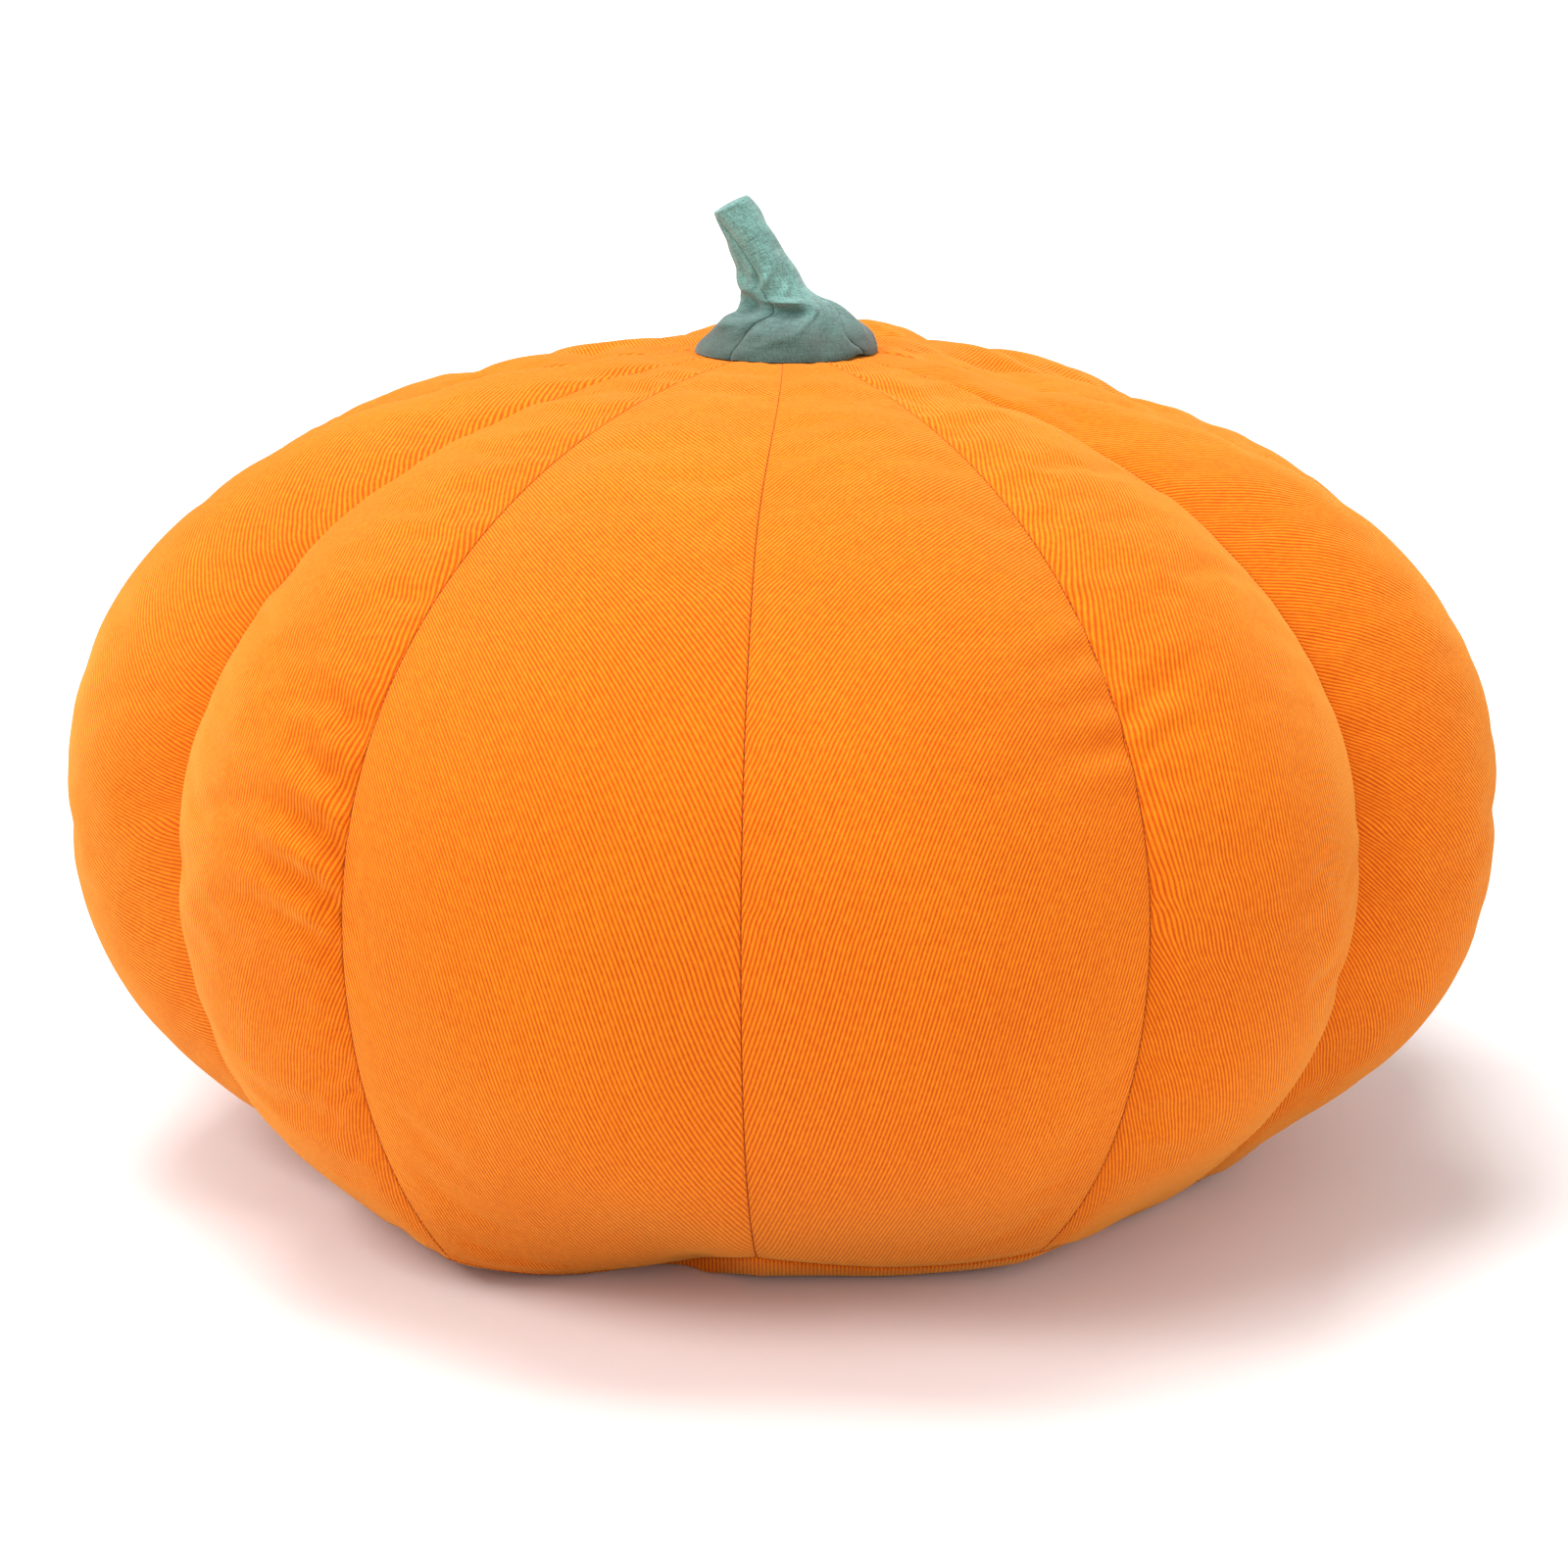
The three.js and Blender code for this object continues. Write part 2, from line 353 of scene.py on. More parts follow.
def gridFaces(across, down, closed=False):
    # Quads of a grid numbered down each line in turn; closed joins the last line to the first
    i = np.arange(across if closed else across - 1)[:, None]
    j = np.arange(down - 1)[None, :]
    k = (i + 1) % across
    quads = np.stack([i * down + j, i * down + j + 1, k * down + j + 1, k * down + j], -1)
    return quads.reshape(-1, 4)


# The turned-in edges of each panel
edge = dict(
    halfGap=0.05 * mm,  # from the seam's plane
    roll=0.9 * mm,  # from the seam to where the cloth starts to turn in
    fold=0.12 * mm,  # depth of the seam line
    tuck=1.1 * mm,
    wall=9 * mm,
    innerRadius=3 * mm,
    innerHeight=0.9,  # of the seam's height
    fullFrom=4 * mm,  # where the cloth's columns are closer together than this, the edge shrinks with them
    hemRow=0.12,  # an extra row this share of the last step above the hem keeps the hem sharp
    hemTuck=(0.996, 1.2 * mm),  # share of the hem's radius, and rise above the hem
    under=((0.88, 5.5 * mm), (0.5, 4 * mm)),  # shares of the hem's radius, and heights
    mapPast=(0, 1.3 * mm, 30 * mm, 100 * mm),  # how far the hem and the rows past it are down the map
    mapFold=0.1 * mm,  # how far the seam line is past the seam on the map
    mapWall=1.5,  # walls, how far the inner end is past the tucked-in cloth there
)
twillNames = ("topTwill", "shoulderTwill", "twill", "lowTwill")
twillAt = (0.38, 0.5, 0.68, 0.93)  # shares of the way down to the hem where the ridges have these turns


def addMap(piece, u, v):
    # The weave's own map in metres, one place for each point
    flat = np.stack([u, v], -1).reshape(-1, 2)
    layer = piece.data.uv_layers.new(name="weave")
    corners = np.empty(len(piece.data.loops), np.int32)
    piece.data.loops.foreach_get("vertex_index", corners)
    layer.uv.foreach_set("vector", flat[corners].astype(np.float32).ravel())


def smoothMesh(piece):
    # One level of subdivision, alike in view and render
    smoother = piece.modifiers.new("fine cloth", "SUBSURF")
    smoother.levels = 1
    smoother.render_levels = 1


def seamFrame(seam):
    # At each point of a seam: away from the axis, square to the seam's plane, and out of the cover
    radial = seam * np.array([1, 1, 0])
    radial /= np.linalg.norm(radial, axis=-1, keepdims=True)
    square = np.cross([0, 0, 1.0], radial)
    out = np.cross(np.gradient(seam, axis=0), square)
    out /= np.linalg.norm(out, axis=-1, keepdims=True)
    out *= np.sign(np.sum(out * (radial + [0, 0, 0.3]), -1, keepdims=True))
    return radial, square, out


def turnedEdge(seam, beside, sign):
    # From the inside out: inner end, wall, tucked-in cloth, the seam line and where the cloth turns
    spacing = np.linalg.norm(beside - seam, axis=-1, keepdims=True)
    shrink = np.minimum(1, spacing / edge["fullFrom"])
    radial, square, out = seamFrame(seam)
    rolled = seam + (beside - seam) / spacing * edge["roll"] * shrink
    folded = seam - out * edge["fold"] * shrink + square * sign * edge["halfGap"]
    tucked = seam - out * edge["tuck"] * shrink + square * sign * edge["halfGap"]
    wall = tucked - radial * edge["wall"] * shrink
    inner = radial * edge["innerRadius"] + seam * np.array([0, 0, edge["innerHeight"]])
    return [inner, wall, tucked, folded, rolled]


def panelPoints(skin):
    # Each row is a closed loop: the cloth across, then a turned-in edge and a wall at both seams. Past the
    # hem the loops go on inwards, at shares of the hem's radius
    first = turnedEdge(skin[0], skin[1], 1)
    second = turnedEdge(skin[-1], skin[-2], -1)
    grid = np.stack([*first, *skin[1:-1], *second[::-1]])
    hem = grid[:, -1:]
    above = hem + (grid[:, -2:-1] - hem) * edge["hemRow"]
    share, rise = edge["hemTuck"]
    tucked = hem * np.array([share, share, 1]) + [0, 0, rise]
    under = [hem * np.array([share, share, 0]) + [0, 0, height] for share, height in edge["under"]]
    return np.concatenate([grid[:, :-1], above, hem, tucked, *under], 1)


def runningSum(values):
    # 0 first, then the sum of the values so far
    return np.concatenate([[0], np.cumsum(values)])


def panelMap(points, smooth, twillTurns, facing):
    # The cloth laid flat: x is the place across, square to the facing direction, and y the length up the
    # middle line, where the rows bend as on a cone by x^2 * slope / (2 * radius). The grain then turns on
    # its way down: u = x * cos(turn) + sum of sin(turn) * step, and v is -x * sin(turn) + sum of
    # cos(turn) * step
    rows, middle = smooth.shape[1], smooth.shape[0] // 2
    facing = math.radians(facing)
    across = smooth[..., :2] @ np.array([math.cos(facing), math.sin(facing)])
    across = across - across[middle]
    tuck, wall = edge["tuck"], edge["wall"]
    turned = np.array([tuck + wall * edge["mapWall"], tuck + wall, tuck, edge["mapFold"], -edge["roll"]])
    x = np.concatenate([across[:1] - turned[:, None], across[1:-1], across[-1:] + turned[::-1, None]])
    y = -lengthAlong(smooth[middle][None], 1)[0]
    past = np.array(edge["mapPast"])
    x = np.concatenate([x[:, :-1], np.repeat(x[:, -1:], len(past) + 1, 1)], 1)
    y = np.concatenate([y[:-1], y[-1:] + (y[-2:-1] - y[-1:]) * edge["hemRow"], y[-1] - past])
    line = points[len(points) // 2, : rows + 1]
    radius = np.hypot(*line[:, :2].T)
    slope = np.gradient(radius) / np.linalg.norm(np.gradient(line, axis=0), axis=1)
    y = y + x**2 * np.concatenate([slope / (2 * radius), np.zeros(len(past) - 1)])
    drop = y[len(points) // 2]
    a = np.radians(np.interp(drop / drop[rows], twillAt, twillTurns))
    between, steps = (a[1:] + a[:-1]) / 2, np.diff(drop)
    alongSin = runningSum(np.sin(between) * steps) + (y - drop) * np.sin(a)
    alongCos = runningSum(np.cos(between) * steps) + (y - drop) * np.cos(a)
    return x * np.cos(a) + alongSin, -x * np.sin(a) + alongCos


def panelPiece(number, skin, smooth, twillTurns, facing):
    # One closed shell, with its map from the cloth as it was before its puckers
    points = panelPoints(skin)
    count, down = points.shape[:2]
    faces = gridFaces(count, down, closed=True).tolist()
    faces.append([i * down for i in range(count)])
    faces.append([i * down + down - 1 for i in reversed(range(count))])
    piece = meshFrom(f"cover_panel_{number:02d}", points, faces)
    addMap(piece, *panelMap(points, smooth, twillTurns, facing))
    smoothMesh(piece)
    return piece


# The round base cloth: flat on the floor, its edge turned up to the hems of the panels
base = dict(
    thick=0.8 * mm,
    turnIn=1.9,  # how far the edge runs in under the hem, times the hem's height
    turnInMost=27 * mm,
    evenOut=17,  # columns on each side over which the line on the floor is evened out
    spread=1 * mm,
    edgeLeast=2 * mm,
    gap=0.05 * mm,
    outPower=0.8,
    upPower=1.35,
    leanPower=1.5,
    leanIn=0.6,  # of the thickness, at the hem
    thinner=0.4,  # of the thickness, at the hem
    edgeRows=9,
    rings=(0.86, 0.6, 0.3, 0.004),
    flatShare=1.6,  # of the edge's height, what the turned-up edge takes of the flat cloth
)


def baseCloth(skin):
    # Radius = contact + turned-up width * t^outPower and height = hem height * t^upPower, with t from 0 on
    # the floor to 1 at the hem. The upper side is up to a thickness above
    hem = skin[:, :-1, -1].reshape(-1, 3)
    radius = np.hypot(hem[:, 0], hem[:, 1])
    outward = hem * np.array([1, 1, 0]) / radius[:, None]
    height = hem[:, 2] - base["gap"]
    contact = radius - np.minimum(base["turnIn"] * hem[:, 2], base["turnInMost"])
    around = np.arange(-base["evenOut"], base["evenOut"] + 1)
    contact = contact[(np.arange(len(contact))[:, None] + around) % len(contact)].mean(1) + base["spread"]
    contact = np.minimum(contact, radius - base["edgeLeast"])
    t = np.linspace(1, 0, base["edgeRows"])
    r = contact[:, None] + (radius - contact)[:, None] * t ** base["outPower"]
    z = height[:, None] * t ** base["upPower"]
    flat = contact[:, None] * np.array(base["rings"])
    r = np.concatenate([r, flat], 1)
    z = np.concatenate([z, np.zeros_like(flat)], 1)
    lean = np.concatenate([t ** base["leanPower"], np.zeros(len(base["rings"]))])
    rUp = r - lean * base["thick"] * base["leanIn"]
    thick = base["thick"]
    zUp = np.minimum(z + (1 - base["thinner"] * lean) * thick, np.maximum(height[:, None], thick))
    r, z = np.concatenate([rUp[:, ::-1], r], 1), np.concatenate([zUp[:, ::-1], z], 1)
    points = outward[:, None, :] * r[..., None]
    points[..., 2] = z
    columns, down = points.shape[:2]
    faces = gridFaces(columns, down, closed=True).tolist()
    faces.append([i * down for i in range(columns)])
    faces.append([i * down + down - 1 for i in reversed(range(columns))])
    piece = meshFrom("base_cloth", points, faces)
    addMap(piece, points[..., 0], points[..., 1])
    flatRadius = contact + base["flatShare"] * height
    return piece, float(np.max(flatRadius) * 2), float(np.pi * np.mean(flatRadius**2))


# Seam stitches: short dark threads lying in the seams, their darkness partly painted shade of the stitch
# dimples
stitch = dict(
    pitch=2.5 * mm,
    length=1.7 * mm,
    radius=0.23 * mm,
    deep=0.1 * mm,
    ends=0.985,  # of half its length, where a stitch is closed
    bow=0.9,  # of its radius, how far its ends dip
    sides=6,
    rings=5,
    # painted shade in part: darker than the cloth to stand for the shade in the pulled stitch dimples
    colour=(0.36, 0.045, 0.004, 1),
    roughness=0.8,
    gloss=0.2,
)


def threadPoints(path, out):
    # Middles, directions and out directions of the stitches along one line, evenly spaced over its length
    far = runningSum(np.linalg.norm(np.diff(path, axis=0), axis=1))
    at = np.arange(stitch["pitch"], far[-1] - stitch["pitch"], stitch["pitch"])
    middle, up = (np.stack([np.interp(at, far, line[:, k]) for k in range(3)], -1) for line in (path, out))
    along = np.gradient(middle, axis=0)
    along /= np.linalg.norm(along, axis=1, keepdims=True)
    up /= np.linalg.norm(up, axis=1, keepdims=True)
    return middle - up * stitch["deep"], along, up


def threadPiece(name, lines):
    # Each stitch is a small spindle: radius * sqrt(1 - s^2) around its line, with s from -1 to 1 along it
    # and its ends dipping by bow * radius * s^2
    middle, along, up = (np.concatenate(part) for part in zip(*lines))
    aside = np.cross(along, up)
    s = np.linspace(-stitch["ends"], stitch["ends"], stitch["rings"])[None, :, None, None]
    turn = (np.arange(stitch["sides"]) * 2 * np.pi / stitch["sides"])[None, None, :, None]
    width = stitch["radius"] * np.sqrt(1 - s**2)
    sag = stitch["radius"] * stitch["bow"] * (s**2)
    points = middle[:, None, None] + along[:, None, None] * s * stitch["length"] / 2
    points = points + aside[:, None, None] * np.cos(turn) * width
    points = points + up[:, None, None] * (np.sin(turn) * width - sag)
    count = len(middle)
    sides, rings = stitch["sides"], stitch["rings"]
    i = np.arange(rings - 1)[:, None]
    j = np.arange(sides)[None, :]
    k = (j + 1) % sides
    quads = np.stack([i * sides + j, i * sides + k, (i + 1) * sides + k, (i + 1) * sides + j], -1)
    start = (np.arange(count) * sides * rings)[:, None, None]
    faces = (quads.reshape(-1, 4)[None] + start).reshape(-1, 4).tolist()
    firstCaps = np.arange(sides)[::-1][None] + start[:, 0]
    lastCaps = np.arange(sides) + (rings - 1) * sides + start[:, 0]
    return meshFrom(name, points, faces + firstCaps.tolist() + lastCaps.tolist())


# The stalk, from its hem to its tip: height, reach to the left, right, front and back (mm), rise of the
# section to the right, and the directions of its left and right seams (degrees from the front)
stalkColumns = ("up", "left", "right", "front", "back", "tilt", "leftSeam", "rightSeam")
stalkRows = [
    (336.4, -37, 38.5, -37, 37, 0, -37, 58),
    (339, -35.5, 38, -35.5, 36, 0, -38, 55),
    (343, -31, 35.5, -31, 32, 0, -39, 50),
    (346.5, -28.5, 32.2, -26, 28, 0, -37, 51),
    (350, -25, 28.8, -20.5, 24, 0, -30, 58),
    (352.5, -19.5, 25.3, -17, 20.5, 0, -23, 66),
    (356, -17.6, 20, -14.5, 17, 0, -19, 78),
    (359, -18, 13.5, -13, 15, 0, -18, 88),
    (363, -18.6, 8.4, -12, 12.5, 0.1, -18, 105),
    (370, -19.4, 3.2, -11, 11, 0.25, -20, 120),
    (378, -21.2, -3, -10, 10, 0.4, -30, 125),
    (388, -25, -8.7, -9, 9, 0.48, -50, 120),
    (395.5, -28.6, -14, -7.5, 7.5, 0.5, -82, 98),
]
# Lengths are mm where no unit is written
stalk = dict(
    rows=110,
    frontColumns=56,
    backColumns=90,
    capRows=((0.97, 0.5), (0.9, 0.75), (0.84, 0.45), (0.75, 0.8), (0.45, 1.2), (0.05, 1.3)),  # share, rise
    floorRows=((0.985, -0.5), (0.8, -0.2), (0.4, 0.4), (0.05, 0.6)),  # share, rise
    tipAxis=(-0.5, 0, 1),
    waves=5,
    waveRise=0.14,
    waveTurns=(2, 7),
    waveClimb=(0.2, 0.7),
    wavePhase=(0, 6),
    skirt=(337, 343),  # it fades out between these heights
    skirtCalm=0.6,  # share of the folds' sideways movement that the skirt loses
    liftBelow=352,  # folds also rise upwards from here down, in full from liftOver below it
    liftOver=8,
    lift=0.5,
    hollowLift=0.3,
    hemRise=1.7,  # where the hem stands up at the front right
    hemTurn=54,  # degrees
    hemWidth=9,  # degrees
    seamValley=0.8,
    valleyWidth=1.7,
    seamFold=0.15 * mm,
    seamTuck=0.9 * mm,
    fullFrom=5 * mm,  # nearer to the heart line than this, the turned-in edge shrinks with the distance
    core=0.04,  # share of the way from the heart line to the cloth
)
# Folds of the stalk: direction, height (mm), turn of the fold (0 level, 90 upright), half length, half
# width and rise (mm)
foldRows = [
    (4, 357.8, 0, 8, 1.3, 2.46),
    (3, 352.6, 0, 6.5, 2.6, -4.64),
    (18, 351.2, 38, 6.5, 1.3, 2.46),
    (-9, 365.5, 48, 6, 1.5, 1.59),
    (18, 361.5, 35, 6, 1.2, 1.3),
    (40, 366, 60, 6, 2, -1.16),
    (-24, 367, 78, 9, 1.5, -1.3),
    (-52, 355.5, 90, 5, 4.5, -3.48),
    (-50, 372, 80, 8, 3, -1.74),
    (30, 344.5, 45, 13, 4.5, -2.17),
    (-12, 343.5, 20, 13, 2.2, 1.16),
    (-30, 348.5, 35, 9, 1.6, -1.74),
    (-60, 348.6, 12, 9, 2, 2.03),
    (75, 350, 50, 9, 3, 1.74),
    (100, 344, 30, 12, 3, 1.3),
    (140, 352, 10, 9, 2, -2.17),
    (150, 361, 40, 8, 1.6, 1.45),
    (185, 356, -20, 8, 1.8, 1.74),
    (190, 345, 70, 10, 3.5, -1.74),
    (225, 364, 60, 9, 2, -1.45),
    (235, 347, -40, 10, 2.6, 1.59),
]


def through(values, t):
    # A smooth curve through evenly spaced values, t from 0 to 1: the Catmull-Rom cubic of its four neighbours
    place = t * (len(values) - 1)
    i = np.clip(np.floor(place).astype(int), 0, len(values) - 2)
    f = place - i
    before, here, there, after = (values[np.clip(i + k, 0, len(values) - 1)] for k in (-1, 0, 1, 2))
    slopeHere, slopeThere = (there - before) / 2, (after - here) / 2
    return ((2 * f**3 - 3 * f**2 + 1) * here + (f**3 - 2 * f**2 + f) * slopeHere
            + (3 * f**2 - 2 * f**3) * there + (f**3 - f**2) * slopeThere)


def stalkHalf(name, firstSeam, secondSeam, columns, wrap):
    # Across: middle + reach * sin(direction), with the left and right reach apart, and the same with cos for
    # front and back; folds are added outwards as rise * exp(-(along/length)^2 - (aside/width)^2)
    t = np.linspace(0, 1, stalk["rows"])
    stations = np.array(stalkRows, float)
    at = {column: through(stations[:, i], t)[None] for i, column in enumerate(stalkColumns)}
    share = np.linspace(0, 1, columns)[:, None]
    start, end = at[firstSeam], at[secondSeam] + wrap
    direction = np.radians(start + (end - start) * share)
    middleX = (at["left"] + at["right"]) / 2
    middleY = (at["front"] + at["back"]) / 2
    x = middleX + (at["right"] - at["left"]) / 2 * np.sin(direction)
    y = middleY - (at["back"] - at["front"]) / 2 * np.cos(direction)
    z = at["up"] + at["tilt"] * (x - middleX)
    size = (at["right"] - at["left"] + at["back"] - at["front"]) / 4
    rise = np.zeros_like(x)
    for turn, height, tilt, length, width, tall in foldRows:
        aside = (np.degrees(direction) - turn + 180) % 360 - 180
        aside = np.radians(aside) * size
        above = at["up"] - height
        a = math.radians(tilt)
        along = aside * math.cos(a) + above * math.sin(a)
        off = -aside * math.sin(a) + above * math.cos(a)
        rise += tall * np.exp(-((along / length) ** 2) - (off / width) ** 2)
    draw = np.random.default_rng(3)
    for _ in range(stalk["waves"]):
        turns, climb = draw.integers(*stalk["waveTurns"]), draw.uniform(*stalk["waveClimb"])
        phase = draw.uniform(*stalk["wavePhase"])
        rise += stalk["waveRise"] * np.sin(turns * direction + at["up"] * climb + phase)
    for seam in ("leftSeam", "rightSeam"):
        aside = (np.degrees(direction) - at[seam] + 180) % 360 - 180
        rise -= stalk["seamValley"] * np.exp(-((np.radians(aside) * size / stalk["valleyWidth"]) ** 2))
    skirt = 1 - smoothStep(at["up"], *stalk["skirt"])
    x = x + rise * np.sin(direction) * (1 - stalk["skirtCalm"] * skirt)
    y = y - rise * np.cos(direction) * (1 - stalk["skirtCalm"] * skirt)
    slope = smoothStep(stalk["liftBelow"] - at["up"], 0, stalk["liftOver"])
    z = z + np.where(rise > 0, rise, stalk["hollowLift"] * rise) * stalk["lift"] * slope
    fromHemTurn = (np.degrees(direction) - stalk["hemTurn"]) / stalk["hemWidth"]
    z = z + stalk["hemRise"] * skirt * np.exp(-(fromHemTurn**2))
    skin = np.stack([x, y, z], -1) * mm
    heart = np.stack([middleX[0], middleY[0], at["up"][0]], -1) * mm
    # The tip's round end and the underside, each a share of its last loop
    axis = np.array(stalk["tipAxis"]) / np.linalg.norm(stalk["tipAxis"])
    tip = [heart[-1] + (skin[:, -1] - heart[-1]) * k + axis * up * mm for k, up in stalk["capRows"]]
    under = [heart[0] + (skin[:, 0] - heart[0]) * k + [0, 0, up * mm] for k, up in stalk["floorRows"]]
    skin = np.concatenate([np.stack(under[::-1], 1), skin, np.stack(tip, 1)], 1)
    heart = np.concatenate([heart[:1].repeat(len(under), 0), heart, heart[-1:].repeat(len(tip), 0)])
    heart[-len(tip):] += axis * np.array(stalk["capRows"])[:, 1:] * mm
    heart[: len(under), 2] = skin[:, : len(under), 2].mean(0)
    inwards = []
    for line, beside in ((skin[0], skin[1]), (skin[-1], skin[-2])):
        toHeart = heart - line
        far = np.linalg.norm(toHeart, axis=1, keepdims=True)
        toHeart = toHeart / far
        away = (beside - line) / np.maximum(np.linalg.norm(beside - line, axis=1, keepdims=True), 1e-9)
        small = np.minimum(1, far / stalk["fullFrom"])
        inwards.append([line + toHeart * stalk[depth] * small + away * edge["halfGap"] * small
                        for depth in ("seamFold", "seamTuck")])
    core = heart + (skin[columns // 2] - heart) * stalk["core"]
    grid = np.stack([core, inwards[0][1], inwards[0][0], *skin[1:-1], *inwards[1]])
    count, down = grid.shape[:2]
    faces = gridFaces(count, down, closed=True)[:, ::-1].tolist()
    faces.append([i * down for i in reversed(range(count))])
    faces.append([i * down + down - 1 for i in range(count)])
    piece = meshFrom(name, grid, faces)
    u = lengthAlong(grid, 0)
    v = lengthAlong(grid[count // 2][None], 1).repeat(count, 0)
    addMap(piece, u - u[count // 2], v)
    smoothMesh(piece)
    return piece


# Shader maths: a socket with arithmetic
class Field:
    def __init__(self, finish, socket):
        self.finish, self.socket = finish, socket

    def math(self, kind, *others):
        inputs = {0: self, **dict(enumerate(others, 1))}
        return self.finish.value("ShaderNodeMath", {"operation": kind}, inputs)

    def __add__(self, other):
        return self.math("ADD", other)

    def __mul__(self, other):
        return self.math("MULTIPLY", other)

    def __sub__(self, other):
        return self.math("SUBTRACT", other)

    def __rsub__(self, other):
        return self * -1 + other

    def __truediv__(self, other):
        return self.math("DIVIDE", other)

    def __pow__(self, other):
        return self.math("POWER", other)

    __radd__ = __add__
    __rmul__ = __mul__


class Finish:
    def __init__(self, name):
        self.material = bpy.data.materials.new(name)
        self.material.use_nodes = True
        self.tree = self.material.node_tree
        self.shader = self.tree.nodes["Principled BSDF"]

    def node(self, kind, settings=None, inputs=None):
        made = self.tree.nodes.new(kind)
        for name, setting in (settings or {}).items():
            setattr(made, name, setting)
        for name, given in (inputs or {}).items():
            self.feed(made.inputs[name], given)
        return made

    def feed(self, socket, given):
        if isinstance(given, Field):
            self.tree.links.new(given.socket, socket)
        else:
            socket.default_value = given

    def value(self, kind, settings=None, inputs=None, output=0):
        return Field(self, self.node(kind, settings, inputs).outputs[output])

    def blend(self, amount, first, second, kind="MIX"):
        settings = {"data_type": "RGBA", "blend_type": kind}
        return self.value("ShaderNodeMix", settings, {0: amount, 6: first, 7: second}, output=2)

    def place(self):
        # The weave's own map as its two coordinates, in metres
        spot = self.value("ShaderNodeUVMap", {"uv_map": "weave"})
        split = self.node("ShaderNodeSeparateXYZ", None, {0: spot})
        return Field(self, split.outputs[0]), Field(self, split.outputs[1])

    def noise(self, x, y, z, detail=2.0, rough=0.5):
        spot = self.value("ShaderNodeCombineXYZ", None, {0: x, 1: y, 2: z})
        inputs = {"Vector": spot, "Scale": 1.0, "Detail": detail, "Roughness": rough}
        return self.value("ShaderNodeTexNoise", None, inputs)


twill = dict(
    pitch=1.5 * mm,
    floatLength=2.3 * mm,
    ridge=(0.84, 0.212, 0.006, 1),
    # painted shade: the groove colour is the ridge colour darkened as shade darkens it in the grooves
    groove=(0.47, 0.055, 0.001, 1),
    wobble=0.35 * mm,  # sideways, of the ridges
    wobbleScale=60,  # scales are cells in a metre
    grainScale=2600,
    broadScale=14,
    sharpness=0.8,  # power of the ridges' tone
    ridgeTone=0.85,
    yarnTone=0.55,
    grainTone=0.35,
    broadTone=0.25,
    yarnHeight=0.5,
    leastHeight=0.75,
    grainHeight=0.12,
    strength=0.85,
    bump=0.22 * mm,
    roughness=0.86,
    sheen=0.42,
    sheenRoughness=0.45,
    sheenTint=(1.0, 0.68, 0.14, 1),
    gloss=0.1,
)


def orangeTwill(name):
    # Ridges are a cosine across the weave's map, broken into floats along it, with yarn and dye unevenness
    f = Finish(name)
    u, v = f.place()
    wobble = f.noise(u * twill["wobbleScale"], v * twill["wobbleScale"], 0.3, detail=0.0)
    phase = (u + (wobble - 0.5) * twill["wobble"]) * (2 * math.pi / twill["pitch"])
    ridge = phase.math("COSINE") * 0.5 + 0.5
    yarn = f.noise(u / twill["pitch"], v / twill["floatLength"], 0.7, detail=1.0)
    grain = f.noise(u * twill["grainScale"], v * twill["grainScale"], 0.1, detail=0.0)
    broad = f.noise(u * twill["broadScale"], v * twill["broadScale"], 0.9, detail=1.0)
    # painted shade: the tone rises with the ridges, so the colour darkens into the grooves between them
    tone = (ridge ** twill["sharpness"]) * twill["ridgeTone"] + (yarn - 0.5) * twill["yarnTone"]
    tone = tone + (grain - 0.5) * twill["grainTone"] + (broad - 0.5) * twill["broadTone"]
    tone = f.value("ShaderNodeClamp", None, {0: tone})
    colour = f.blend(tone, twill["groove"], twill["ridge"])
    height = ridge * (yarn * twill["yarnHeight"] + twill["leastHeight"]) + grain * twill["grainHeight"]
    relief = {"Strength": twill["strength"], "Distance": twill["bump"], "Height": height}
    bump = f.value("ShaderNodeBump", None, relief)
    f.feed(f.shader.inputs["Base Color"], colour)
    f.feed(f.shader.inputs["Normal"], bump)
    f.shader.inputs["Roughness"].default_value = twill["roughness"]
    f.shader.inputs["Sheen Weight"].default_value = twill["sheen"]
    f.shader.inputs["Sheen Roughness"].default_value = twill["sheenRoughness"]
    f.shader.inputs["Sheen Tint"].default_value = twill["sheenTint"]
    f.shader.inputs["Specular IOR Level"].default_value = twill["gloss"]
    return f.material


stalkWeave = dict(
    pitch=0.55 * mm,
    light=(0.19, 0.42, 0.375, 1),
    dark=(0.05, 0.095, 0.08, 1),
    # painted shade, tinted warm as by light thrown back from the orange cover, multiplied into the skirt's
    # colour
    skirtShade=(0.29, 0.26, 0.24, 1),
    yarnScale=180,  # along a yarn; scales are cells in a metre
    speckScale=1500,
    broadScale=60,
    checkTone=0.35,
    yarnTone=0.9,
    speckTone=1.3,
    broadTone=0.5,
    tone=0.35,
    speckHeight=0.5,
    strength=0.8,
    bump=0.12 * mm,
    shadeFrom=0.362,  # metres up, where the painted shade on the skirt starts
    shadeFull=0.344,
    roughness=0.9,
    sheen=0.3,
    sheenRoughness=0.5,
    gloss=0.2,
)


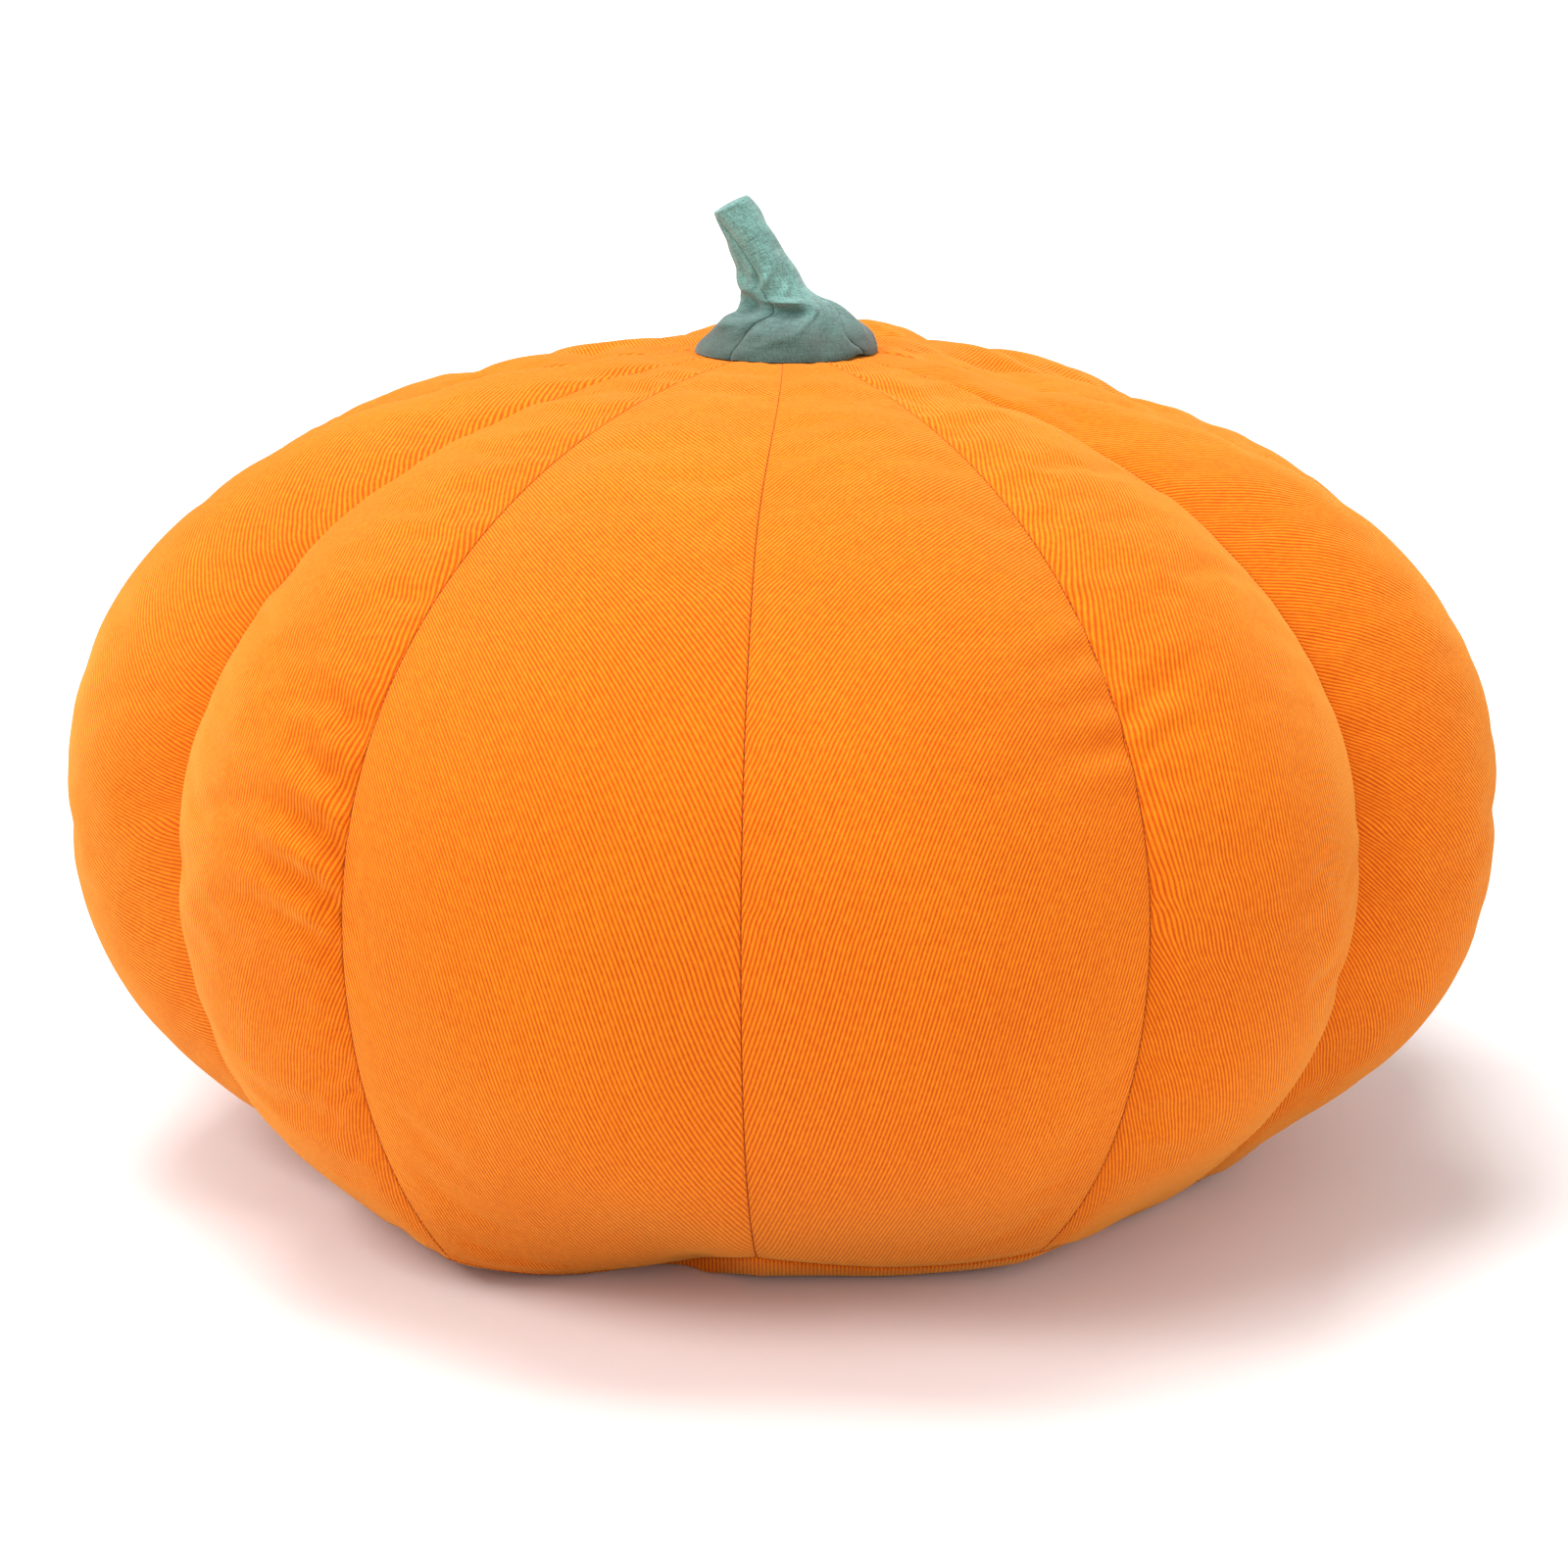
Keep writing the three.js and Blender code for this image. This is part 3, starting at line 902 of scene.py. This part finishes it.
def greenCloth(name):
    # Warp and weft cosines multiplied into small checks, with uneven yarns and pale specks; painted shade
    # darkens the skirt
    f = Finish(name)
    u, v = f.place()
    w = stalkWeave
    turn = 2 * math.pi / w["pitch"]
    warp = f.noise(u / w["pitch"], v * w["yarnScale"], 0.2)
    weft = f.noise(u * w["yarnScale"], v / w["pitch"], 0.6)
    check = (u * turn).math("COSINE") * (v * turn).math("COSINE") * 0.5 + 0.5
    speck = f.noise(u * w["speckScale"], v * w["speckScale"], 0.4, detail=3.0)
    broad = f.noise(u * w["broadScale"], v * w["broadScale"], 0.8)
    tone = check * w["checkTone"] + (warp + weft - 1) * w["yarnTone"]
    tone = tone + (speck - 0.5) * w["speckTone"] + (broad - 0.5) * w["broadTone"] + w["tone"]
    tone = f.value("ShaderNodeClamp", None, {0: tone})
    relief = {"Strength": w["strength"], "Distance": w["bump"], "Height": check + speck * w["speckHeight"]}
    bump = f.value("ShaderNodeBump", None, relief)
    colour = f.blend(tone, w["dark"], w["light"])
    # painted shade on the skirt, fading in downwards by height
    place = f.value("ShaderNodeTexCoord", output=3)
    up = Field(f, f.node("ShaderNodeSeparateXYZ", None, {0: place}).outputs[2])
    low = f.value("ShaderNodeMapRange", None, {0: up, 1: w["shadeFrom"], 2: w["shadeFull"], 3: 0.0, 4: 1.0})
    shaded = f.blend(1.0, colour, w["skirtShade"], "MULTIPLY")
    f.feed(f.shader.inputs["Base Color"], f.blend(low, colour, shaded))
    f.feed(f.shader.inputs["Normal"], bump)
    f.shader.inputs["Roughness"].default_value = w["roughness"]
    f.shader.inputs["Sheen Weight"].default_value = w["sheen"]
    f.shader.inputs["Sheen Roughness"].default_value = w["sheenRoughness"]
    f.shader.inputs["Specular IOR Level"].default_value = w["gloss"]
    return f.material


def threadAndShadeFinish(name):
    # Dark orange thread: partly the thread's own colour, partly painted shade of the pulled stitch dimples
    # along the seams
    f = Finish(name)
    f.shader.inputs["Base Color"].default_value = stitch["colour"]
    f.shader.inputs["Roughness"].default_value = stitch["roughness"]
    f.shader.inputs["Specular IOR Level"].default_value = stitch["gloss"]
    return f.material


def coverPiece(piece, material, node):
    # Gives a piece its material and its place in the frame
    piece.data.materials.append(material)
    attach(piece, "root")
    if node:
        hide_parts(node)


skin = coverSkin(relax["adds"])
skin = addLumps(skin)
skin = relaxedSkin(skin)
smooth = skin
skin = addPuckers(skin, frontPuckers + hiddenPuckers())
skin[..., 2] = np.maximum(skin[..., 2], cover["floorClear"])
print("cover shaped")

clothOrange = orangeTwill("orange_twill_cloth")
for i in range(panelCount):
    twillTurns = [panels[name][i] for name in twillNames]
    piece = panelPiece(i + 1, skin[i], smooth[i], twillTurns, panels["facing"][i])
    coverPiece(piece, clothOrange, f"panel_{i + 1:02d}")
print("panels made")

basePiece, baseWidth, baseArea = baseCloth(skin)
coverPiece(basePiece, clothOrange, "base_panel")
print(f"base cloth made, {baseWidth:.3f} m across")

seamLines = [threadPoints(skin[i, 0], seamFrame(skin[i, 0])[2]) for i in range(panelCount)]
hemLine = skin[:, :-1, -1].reshape(-1, 3)
hemOut = hemLine * np.array([1, 1, 0])
seamLines.append(threadPoints(hemLine, hemOut / np.linalg.norm(hemOut, axis=1, keepdims=True)))
threads = threadPiece("seam_stitches", seamLines)
coverPiece(threads, threadAndShadeFinish("orange_thread_and_shade"), None)
print("seams stitched")

clothGreen = greenCloth("green_stalk_cloth")
halves = (
    ("stalk_front", "leftSeam", "rightSeam", stalk["frontColumns"], 0),
    ("stalk_back", "rightSeam", "leftSeam", stalk["backColumns"], 360),
)
for name, first, second, columns, wrap in halves:
    piece = stalkHalf("cloth_" + name, first, second, columns, wrap)
    coverPiece(piece, clothGreen, name)
print("stalk made")


studio = dict(
    floorSize=400,
    floorDown=0.2 * mm,
    floorRoughness=0.9,
    floorGloss=0.1,
    floorTone=(0.78, 0.78, 0.78, 1),
    farGlow=0.5,  # lit like a backdrop from here outwards
    glowFrom=0.9,
    glowFull=2.6,
    sky=0.76,
    lamps=dict(
        key=dict(place=(-1.5, -1.35, 2.1), size=1.0, power=42),
        fill=dict(place=(1.9, -1.6, 1.3), size=1.6, power=16),
        top=dict(place=(-0.4, 0.1, 2.6), size=1.4, power=72),
    ),
)
view = dict(elevation=16, distance=1.3, target=(0, 0, 0.15), lens=69.4, sensor=36)


def room():
    # A pale floor that glows towards its far end, under an even sky
    bpy.ops.mesh.primitive_plane_add(size=studio["floorSize"], location=(0, 0, -studio["floorDown"]))
    floor = bpy.context.active_object
    floor.name = "floor"
    f = Finish("pale_floor")
    f.shader.inputs["Base Color"].default_value = studio["floorTone"]
    place = f.value("ShaderNodeTexCoord", output=3)
    far = f.value("ShaderNodeVectorMath", {"operation": "LENGTH"}, {0: place}, output=1)
    glowRange = {0: far, 1: studio["glowFrom"], 2: studio["glowFull"], 3: 0.0, 4: 1.0}
    glow = f.value("ShaderNodeMapRange", None, glowRange)
    f.feed(f.shader.inputs["Emission Color"], f.blend(glow, (0, 0, 0, 1), (1, 1, 1, 1)))
    f.shader.inputs["Emission Strength"].default_value = studio["farGlow"]
    f.shader.inputs["Roughness"].default_value = studio["floorRoughness"]
    f.shader.inputs["Specular IOR Level"].default_value = studio["floorGloss"]
    floor.data.materials.append(f.material)
    world = bpy.data.worlds.new("studio")
    world.use_nodes = True
    sky = world.node_tree.nodes["Background"]
    sky.inputs["Color"].default_value = (1, 1, 1, 1)
    sky.inputs["Strength"].default_value = studio["sky"]
    bpy.context.scene.world = world


def softLamp(name, place, size, power):
    # A square area lamp at the place, turned to the camera's target
    light = bpy.data.lights.new(name, "AREA")
    light.size = size
    light.energy = power
    lamp = bpy.data.objects.new(name, light)
    lamp.location = place
    x, y, z = np.array(view["target"]) - np.array(place)
    lamp.rotation_euler = (math.pi - math.atan2(math.hypot(x, y), z), 0, math.atan2(y, x) - math.pi / 2)
    bpy.context.scene.collection.objects.link(lamp)


def photoCamera():
    # On a circle about the target at the elevation, looking at it
    lift = math.radians(view["elevation"])
    lens = bpy.data.cameras.new("camera")
    lens.lens = view["lens"]
    lens.sensor_width = view["sensor"]
    eye = bpy.data.objects.new("camera", lens)
    x, y, z = view["target"]
    eye.location = (x, y - view["distance"] * math.cos(lift), z + view["distance"] * math.sin(lift))
    eye.rotation_euler = (math.pi / 2 - lift, 0, 0)
    bpy.context.scene.collection.objects.link(eye)
    bpy.context.scene.camera = eye


room()
for name, lamp in studio["lamps"].items():
    softLamp(name, lamp["place"], lamp["size"], lamp["power"])
photoCamera()
bpy.context.scene.view_settings.view_transform = "Standard"
print("room, light and camera set")
